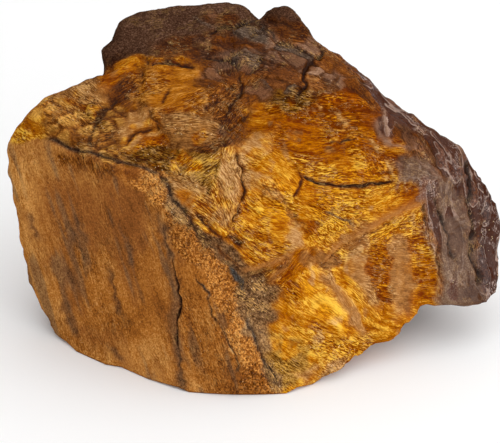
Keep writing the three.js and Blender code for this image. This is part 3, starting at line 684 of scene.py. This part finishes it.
# The joint face has grey smears down it, and light and dark streaks.
down = np.stack([picture @ SMEAR_ALONG, picture @ SMEAR_ACROSS, flat], -1)
smear = pattern(down, "smear") + 0.4 * pattern(down, "fine smear")
glow = pattern(down, "glow")
turn_into("umber", "ochre", 0.8, 0.05, 0.3, glow)
turn_into("ochre", "umber", 0.7, 0.1, 0.4, -glow)
for name in ("ochre", "umber"):
    turn_into(name, "smoke", 0.65, 0.15, 0.42, smear)
dark_line = smooth(0.25, 0.5, pattern(down, "joint line"))
streak = 0.17 * pattern(down, "joint streak") - 0.16 * dark_line
joint_share = sum(mix[finish_names.index(name)] for name in MATTE)
tone += 0.22 * pattern(points, "shade") + joint_share * streak

# The strokes go over the patches. They are ragged, and fade out at their ends.
relief = np.zeros(len(points))
crack = np.zeros(len(points))
crooked = picture + sum(strayed(*row) for row in STROKE_STRAYS)
ragged = smooth(-0.6, 0.6, pattern(points, "ragged"))
for stroke, (path, width, height, finish, shade) in STROKES.items():
    neat = NEATNESS if stroke.startswith(NEAT) else 0
    gap, end = beside(crooked + neat * (picture - crooked), path)
    reach = width * (0.35 + 0.9 * (ragged + neat * (0.6 - ragged)))
    cover = np.exp(-(gap / reach) ** 2) * smooth(-3, 6, end) * seen
    cover *= 0.6 if finish == "smoke" else 0.85 + (1 - neat) * 0.25 * (ragged - 0.5)
    mix *= 1 - cover
    mix[finish_names.index(finish)] += cover
    tone += (shade - tone) * cover
    relief += height * cover
    # A stroke cut this deep is also a crack; the material darkens it, partly as painted shade
    # inside the crack.
    if height < BREAKING:
        middle = np.exp(-(gap / width / 0.7) ** 2)
        crack = np.maximum(crack, cover * middle * min(1, -1.4 * height))

# ---------------------------------------------------------------- the way the fibres run

def mean_outward(weight):
    """The direction straight out of the stone, over the points that have weight."""
    return unit((normals * weight[:, None]).sum(0))


frames = []  # the directions along, across and out of each patch's fibres
for patch, share in zip(patches, shares):
    out = mean_outward(share**2 * seen)
    turn = radians(patch.grain)
    direction = PICTURE_RIGHT * cos(turn) - PICTURE_UP * sin(turn)
    direction = unit(direction - TO_CAMERA * (out @ direction) / (out @ TO_CAMERA))
    frames.append(np.stack([direction, np.cross(out, direction), out], -1))
for side, share in zip(sides, side_shares):
    out = mean_outward(share**2 * (1 - seen))
    direction = np.array(side.direction, float)
    direction = unit(direction - out * (out @ direction))
    frames.append(np.stack([direction, np.cross(out, direction), out], -1))
frames = np.array(frames)

bowed = points + BOW * np.stack([clouds(points, 9, salt) for salt in (21, 22, 23)], -1)
owner, runner_up = np.argsort(-all_shares, axis=0)[:2]
lead = all_shares[owner, np.arange(len(points))]
lead /= lead + all_shares[runner_up, np.arange(len(points))]


def along_fibres(shape):
    """A shape that takes places in a patch's own directions, blended where two patches meet."""
    first, second = (shape(np.einsum("pi,pij->pj", bowed, frames[of]) + of[:, None] * APART)
                     for of in (owner, runner_up))
    return first * lead + second * (1 - lead)


# ---------------------------------------------------------------- the relief

# Here each height is in mm. A tone is 0 at a finish's dark colour and 1 at its light one.

def share_of(part):
    """How much of a part of its finishes each point has."""
    return np.array([FINISHES[name].get(part, 0) for name in finish_names]) @ mix


def flaked(place):
    """Flat flakes that lie along the fibres, each tilted its own way."""
    name, offset, _ = pieces(place, *PIECES["flake"])
    return (chance(name, 41) - 0.5) * 0.3 + (chance(name, 42) - 0.5) * offset[:, 1] * 0.6


# The fibre breaks into rounded bundles with creases between them, and into finer ones on those.
flaky = share_of("flake")
bundle = along_fibres(lambda place: abs(pattern(place, "bundle")))
strand = along_fibres(lambda place: abs(pattern(place, "strand")))
thread = along_fibres(lambda place: pattern(place, "thread"))
flake = along_fibres(flaked)
relief += flaky * (1.5 * bundle + 0.65 * strand + 0.12 * thread + 0.7 * flake - 0.5)
# Painted light and shade: the rounded bundles are lighter on top and darker in the creases between
# them.
tone += flaky * (0.2 * bundle + 0.16 * strand + 0.06 * thread - 0.06)
tone -= flaky * (0.12 * (1 - smooth(0, 0.07, bundle)) + 0.08 * (1 - smooth(0, 0.07, strand)))

# Chips are flat, each tilted its own way, with dark joints between them.
chipped = share_of("chip")
tilt = sum((chance(chip, 156 + axis) - 0.5) * chip_place[:, axis] for axis in range(3))
chip_joint = smooth(0.14, 0, chip_gap)
relief += chipped * (0.9 * tilt + 0.4 * (chance(chip, 159) - 0.5) - 0.2 * chip_joint)
# Each chip is painted a random step lighter or darker, for the painted reflection that differs
# from facet to facet.
tone += chipped * 0.3 * (chance(chip, 160) - 0.5)

# Drips stand up from the rind; the pale rim round each is a painted highlight.
dripping = share_of("drip") * (0.4 + 0.6 * seen)
drip = along_fibres(lambda place: pattern(place, "drip"))
relief += dripping * (0.36 * smooth(-0.05, 0.1, drip) - 0.16)

# Grains of the band stand at their own heights.
grainy = share_of("grain")
name, _, gap = pieces(points, *PIECES["grain"])
relief += grainy * ((chance(name, 72) - 0.5) * 0.25 - 0.12 * (1 - smooth(0, 0.3, gap)))
tone += grainy * ((chance(name, 73) - 0.5) * 0.4 - 0.1 * (1 - smooth(0, 0.25, gap)))

# The rind is dished, with small dishes inside the large ones and raised veins between.
dished = share_of("dish")
bent = points + 0.3 * sway
_, place, _ = pieces(bent, *PIECES["dish"])
_, small_place, _ = pieces(bent, *PIECES["small dish"])
dish = (place**2).sum(-1) * 1.5 - 0.5 + 0.35 * ((small_place**2).sum(-1) * 1.5 - 0.5)
vein = 1 - smooth(0, 0.13, abs(pattern(bent, "vein")))
relief += dished * (0.6 * dish + 0.22 * vein)
tone += dished * (0.16 * dish + 0.16 * vein - 0.06)

# Pits, soft lumps everywhere, and more of them along the outline.
deep_pits = smooth(0.45, 0.8, pattern(points, "deep pit"))
relief += share_of("pit") * (0.16 * pattern(points, "pit") - 0.25 * deep_pits)
relief += 0.38 * pattern(points, "lump") * (0.65 + 0.35 * flaky)
relief += 0.55 * pattern(points, "edge lump") * smooth(0.45, 0.15, abs(facing))
for middle, wide, high in SWELLS.values():
    relief += high * np.exp(-((points - np.array(middle)) ** 2).sum(1) / wide**2)
relief *= standing

# Painted light: what stands up is a little lighter; painted shade: what lies deep is darker.
hump = relief - relaxed(relief[:, None], faces, HOLLOWS)[:, 0]
tone += np.clip(hump * 1.1, -0.3, 0.12) * (1 - 0.5 * grainy)

height = points[:, 2]
shaped = points + normals * relief[:, None]
shaped = np.clip(shaped, points.min(0) - ROOM, points.max(0) + ROOM)
shaped[:, 2] = np.where(height < FOOT_LEVEL, height, np.maximum(shaped[:, 2], FOOT_LEVEL))

# ---------------------------------------------------------------- the mesh in Blender

def linear(text):
    """A colour's six hexadecimal digits as light."""
    values = np.array([int(text[k:k + 2], 16) / 255 for k in (0, 2, 4)])
    return np.where(values < 0.04045, values / 12.92, ((values + 0.055) / 1.055) ** 2.4)


skin = bpy.data.meshes.new("stone_skin")
skin.vertices.add(len(shaped))
skin.vertices.foreach_set("co", (shaped / MM).ravel())
skin.loops.add(faces.size)
skin.loops.foreach_set("vertex_index", faces.ravel())
skin.polygons.add(len(faces))
skin.polygons.foreach_set("loop_start", np.arange(0, faces.size, 3))
skin.polygons.foreach_set("use_smooth", np.ones(len(faces), bool))
skin.update(calc_edges=True)
skin.validate()


def keep(name, kind, values, field="vector", domain="POINT"):
    """Keeps values with the mesh, for the material to read."""
    skin.attributes.new(name, kind, domain).data.foreach_set(field, values.ravel())


for name in ("dark", "middle", "light"):
    shades = np.array([linear(FINISHES[finish][name]) for finish in finish_names])
    colours = np.concatenate([mix.T @ shades, np.ones((len(points), 1))], 1)
    keep(name, "FLOAT_COLOR", colours, "color")

# The fibres and the painted glints are busy in some places and calm in others.
busy = smooth(-0.28, 0.26, pattern(points, "busy"))
for name, parts in {
    "feel": [tone, share_of("rough"), share_of("gloss")],
    "marks": [share_of("fibre") * (0.5 + 0.74 * busy), share_of("grit"), share_of("blotch")],
    "specks": [share_of("painted_glints") * (0.1 + 1.5 * busy), share_of("pit"), share_of("grain")],
    "edges": [drip, chip_gap, crack],
    "coats": [dripping, chipped, flat],
}.items():
    keep(name, "FLOAT_VECTOR", np.stack(parts, -1))

face_owner = owner[faces[:, 0]]
run = np.einsum("fci,fij->fcj", bowed[faces], frames[face_owner])
run = (run + face_owner[:, None, None] * APART) * np.array([STRETCH, 1, 1])
keep("run", "FLOAT_VECTOR", run, domain="CORNER")

stone = bpy.data.objects.new("tigers_eye_skin", skin)
bpy.context.scene.collection.objects.link(stone)
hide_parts("tigers_eye_stone")
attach(stone, "root")


# ---------------------------------------------------------------- materials

class Socket:
    """One output socket, which ordinary arithmetic adds Math nodes to."""

    def __init__(self, maker, socket):
        self.maker, self.socket = maker, socket

    def math(self, operation, *others):
        inputs = dict(enumerate((self, *others)))
        return self.maker.node("ShaderNodeMath", {"operation": operation}, inputs)[0]

    def __add__(self, other):
        return self.math("ADD", other)

    def __radd__(self, other):
        return self.math("ADD", other)

    def __sub__(self, other):
        return self.math("SUBTRACT", other)

    def __rsub__(self, other):
        return (self * -1).math("ADD", other)

    def __mul__(self, other):
        return self.math("MULTIPLY", other)

    def __rmul__(self, other):
        return self.math("MULTIPLY", other)

    def size(self):
        return self.math("ABSOLUTE")

    def clamped(self, low=0, high=1):
        return self.math("MAXIMUM", low).math("MINIMUM", high)

    def between(self, low, high):
        """0 at low and 1 at high, with an even rise between."""
        return self.maker.node("ShaderNodeMapRange", {"interpolation_type": "SMOOTHSTEP"}, {
            "Value": self, "From Min": low, "From Max": high})[0]


class Material:
    """A new material, and its nodes."""

    def __init__(self, name):
        self.material = bpy.data.materials.new(name)
        self.material.use_nodes = True
        self.tree = self.material.node_tree
        self.tree.nodes.clear()

    def node(self, kind, settings=None, inputs=None):
        made = self.tree.nodes.new(kind)
        for key, value in (settings or {}).items():
            setattr(made, key, value)
        for key, value in (inputs or {}).items():
            if isinstance(value, Socket):
                self.tree.links.new(value.socket, made.inputs[key])
            else:
                made.inputs[key].default_value = value
        return [Socket(self, output) for output in made.outputs]

    def colour(self, name):
        """A colour that is kept with the mesh."""
        return self.node("ShaderNodeAttribute", {"attribute_name": name})[0]

    def vector(self, name):
        """Three numbers that are kept with the mesh."""
        return self.node("ShaderNodeAttribute", {"attribute_name": name})[1]

    def parts(self, name):
        """The same three numbers, one by one."""
        return self.node("ShaderNodeSeparateXYZ", None, {"Vector": self.vector(name)})

    def noise(self, vector, scale, detail, rough, warp=0):
        """Noise about 0, from about -1 to 1."""
        value = self.node("ShaderNodeTexNoise", None, {
            "Vector": vector, "Scale": scale, "Detail": detail, "Roughness": rough,
            "Distortion": warp})[0]
        return (value - 0.5) * 2.6

    def mix(self, share, one, two):
        """One colour where share is 0, and the other where it is 1."""
        return self.node("ShaderNodeMix", {"data_type": "RGBA"}, {0: share, 6: one, 7: two})[2]

    def finish(self, shader):
        self.node("ShaderNodeOutputMaterial", None, {"Surface": shader})
        return self.material


def tint(text):
    """A colour's six hexadecimal digits, as a socket takes it."""
    return (*linear(text), 1)


def stone_material():
    m = Material("stone")
    place = m.node("ShaderNodeTexCoord")[3]
    run = m.vector("run")
    short = m.node("ShaderNodeVectorMath", {"operation": "MULTIPLY"}, {0: run, 1: (1.4, 1, 1)})[0]
    tone, rough, gloss = m.parts("feel")
    fibre, grit, blotch = m.parts("marks")
    painted_glints, pit, grain = m.parts("specks")
    drip, gap, crack = m.parts("edges")
    dripping, chipped, _ = m.parts("coats")

    # patterns along the fibres, each with so many waves in a mm across them
    sweeps = m.noise(run, scale=0.5, detail=1, rough=0.5, warp=0.2)
    bundles = m.noise(run, scale=1.2, detail=2, rough=0.6, warp=0.2)
    threads = m.noise(run, scale=2.8, detail=3, rough=0.7, warp=0.15).between(-0.2, 0.2) - 0.5
    hairs = m.noise(short, scale=5, detail=1, rough=0.7, warp=0.3).between(-0.1, 0.1) - 0.5
    curls = m.noise(short, scale=1.7, detail=1, rough=0.5, warp=2.5).size()
    hollows = m.noise(short, scale=2.4, detail=2, rough=0.6, warp=1)

    # patterns that run no way, each with so many waves in a metre
    blots = m.noise(place, scale=260, detail=5, rough=0.65)
    patchy = m.noise(place, scale=500, detail=2, rough=0.6)
    dust = m.noise(place, scale=3400, detail=0, rough=0.5).between(-0.16, 0.16) - 0.5
    cells = m.node("ShaderNodeTexVoronoi", None, {"Vector": place, "Scale": 3300})
    sparkle, other_sparkle, _ = m.node("ShaderNodeSeparateColor", None, {"Color": cells[1]})

    # where the small marks are
    pits = (hollows + blots * 0.4).between(0.34, 0.5) * fibre
    # The sparks are painted specks of highlight.
    painted_sparks = cells[0].between(0.4, 0.3) * other_sparkle.between(0.03, 0.025) * painted_glints
    # The glints are painted highlights, which also raise the bump and the coat a little.
    glints = (patchy + blots * 0.3).between(-0.05, 0.2) * (1 - curls.between(0.04, 0.14)) * painted_glints
    pool = (drip + blots * 0.08).between(0.02, 0.05)
    # The pale rim round each drip is a painted highlight.
    rim = pool * drip.between(0.13, 0.06)
    joints = (gap + hairs * 0.03 + blots * 0.04).between(0.13, 0.05) * chipped
    # Cracks are darkened, partly as painted shade inside them.
    cracks = (crack + hairs * 0.2 + blots * 0.4).between(0.32, 0.5)

    # from dark to light
    shade = tone * 0.8 + 0.02 + blotch * blots * 0.14
    shade = shade + fibre * (sweeps * 0.22 + bundles * 0.2 + threads * 0.22 + hairs * 0.52)
    shade = shade + grit * ((sparkle - 0.5) * 0.5 + dust * 0.44)
    colour = m.mix((shade * 2).clamped(), m.colour("dark"), m.colour("middle"))
    colour = m.mix((shade * 2 - 1).clamped(), colour, m.colour("light"))
    places = {
        "pit": pits,
        "dark grain": grain * other_sparkle.between(0.84, 0.88),
        "gap between drips": dripping * (1 - pool),
        "painted highlight on a drip's rim": dripping * rim,
        "joint": joints,
        "crack": cracks,
        "glint": glints,
        "painted spark": painted_sparks,
    }
    for name, (text, cover) in MARKS.items():
        mark = m.mix(dripping, tint(text), tint(RIND_PAINTED_GLINT)) if name == "glint" else tint(text)
        colour = m.mix(places[name] * cover, colour, mark)

    height = fibre * (threads * 0.5 + hairs * 0.5 - pits * 0.8 + glints * 0.6)
    height = height + grit * (sparkle * 0.9 + dust * 0.6) + pit * dust * 0.5
    height = height + dripping * pool * 1.2 - joints - cracks
    bump = m.node("ShaderNodeBump", None, {"Strength": 0.7, "Distance": 0.0004, "Height": height})
    return m.finish(m.node("ShaderNodeBsdfPrincipled", None, {
        "Base Color": colour,
        "Roughness": (rough + threads * 0.05 - glints * 0.1).clamped(0.12, 1),
        "Coat Weight": (gloss + glints * 0.2 + dripping * pool * 0.15).clamped(),
        "Coat Roughness": 0.12,
        "Specular IOR Level": 0,
        "Normal": bump[0],
    })[0])


def floor_material():
    m = Material("pale_floor")
    return m.finish(m.node("ShaderNodeBsdfPrincipled", None, {
        "Base Color": (0.95, 0.95, 0.95, 1), "Roughness": 0.9})[0])


skin.materials.append(stone_material())

# ---------------------------------------------------------------- floor, light and camera

FLOOR_SIZE = 8  # m
UNDER = 0.0001  # m from the stone's foot down to the floor
LIT = Vector((0, 0, 0.02))  # m, the point that the lights face
LIGHTS = {  # where each stands and how wide it is, in m, and how strong it is, in watts
    "top_light": ((0.2, 0.2, 1.0), 2.2, 12.6),
    "side_light": ((0.9, -0.5, 0.2), 1.2, 9),
    "front_light": ((0, -1.2, 0.5), 1.2, 4),
}
ROOM_LIGHT = 0.44

bpy.ops.mesh.primitive_plane_add(size=FLOOR_SIZE, location=(0, 0, -UNDER))
floor = bpy.context.active_object
floor.name = "floor"
floor.data.materials.append(floor_material())

for name, (place, size, power) in LIGHTS.items():
    light = bpy.data.lights.new(name, "AREA")
    light.shape = "SQUARE"
    light.size = size
    light.energy = power
    lamp = bpy.data.objects.new(name, light)
    bpy.context.scene.collection.objects.link(lamp)
    lamp.location = place
    lamp.rotation_euler = (LIT - Vector(place)).to_track_quat("-Z", "Y").to_euler()

world = bpy.data.worlds.new("white_room")
world.use_nodes = True
world.node_tree.nodes["Background"].inputs["Color"].default_value = (1, 1, 1, 1)
world.node_tree.nodes["Background"].inputs["Strength"].default_value = ROOM_LIGHT
bpy.context.scene.world = world
bpy.context.scene.view_settings.view_transform = "Standard"

camera_data = bpy.data.cameras.new("camera")
camera_data.lens = LENS
camera_data.sensor_width = SENSOR
camera = bpy.data.objects.new("camera", camera_data)
bpy.context.scene.collection.objects.link(camera)
camera.location = EYE / MM
camera.rotation_euler = (pi / 2 - TILT, 0, 0)
bpy.context.scene.camera = camera
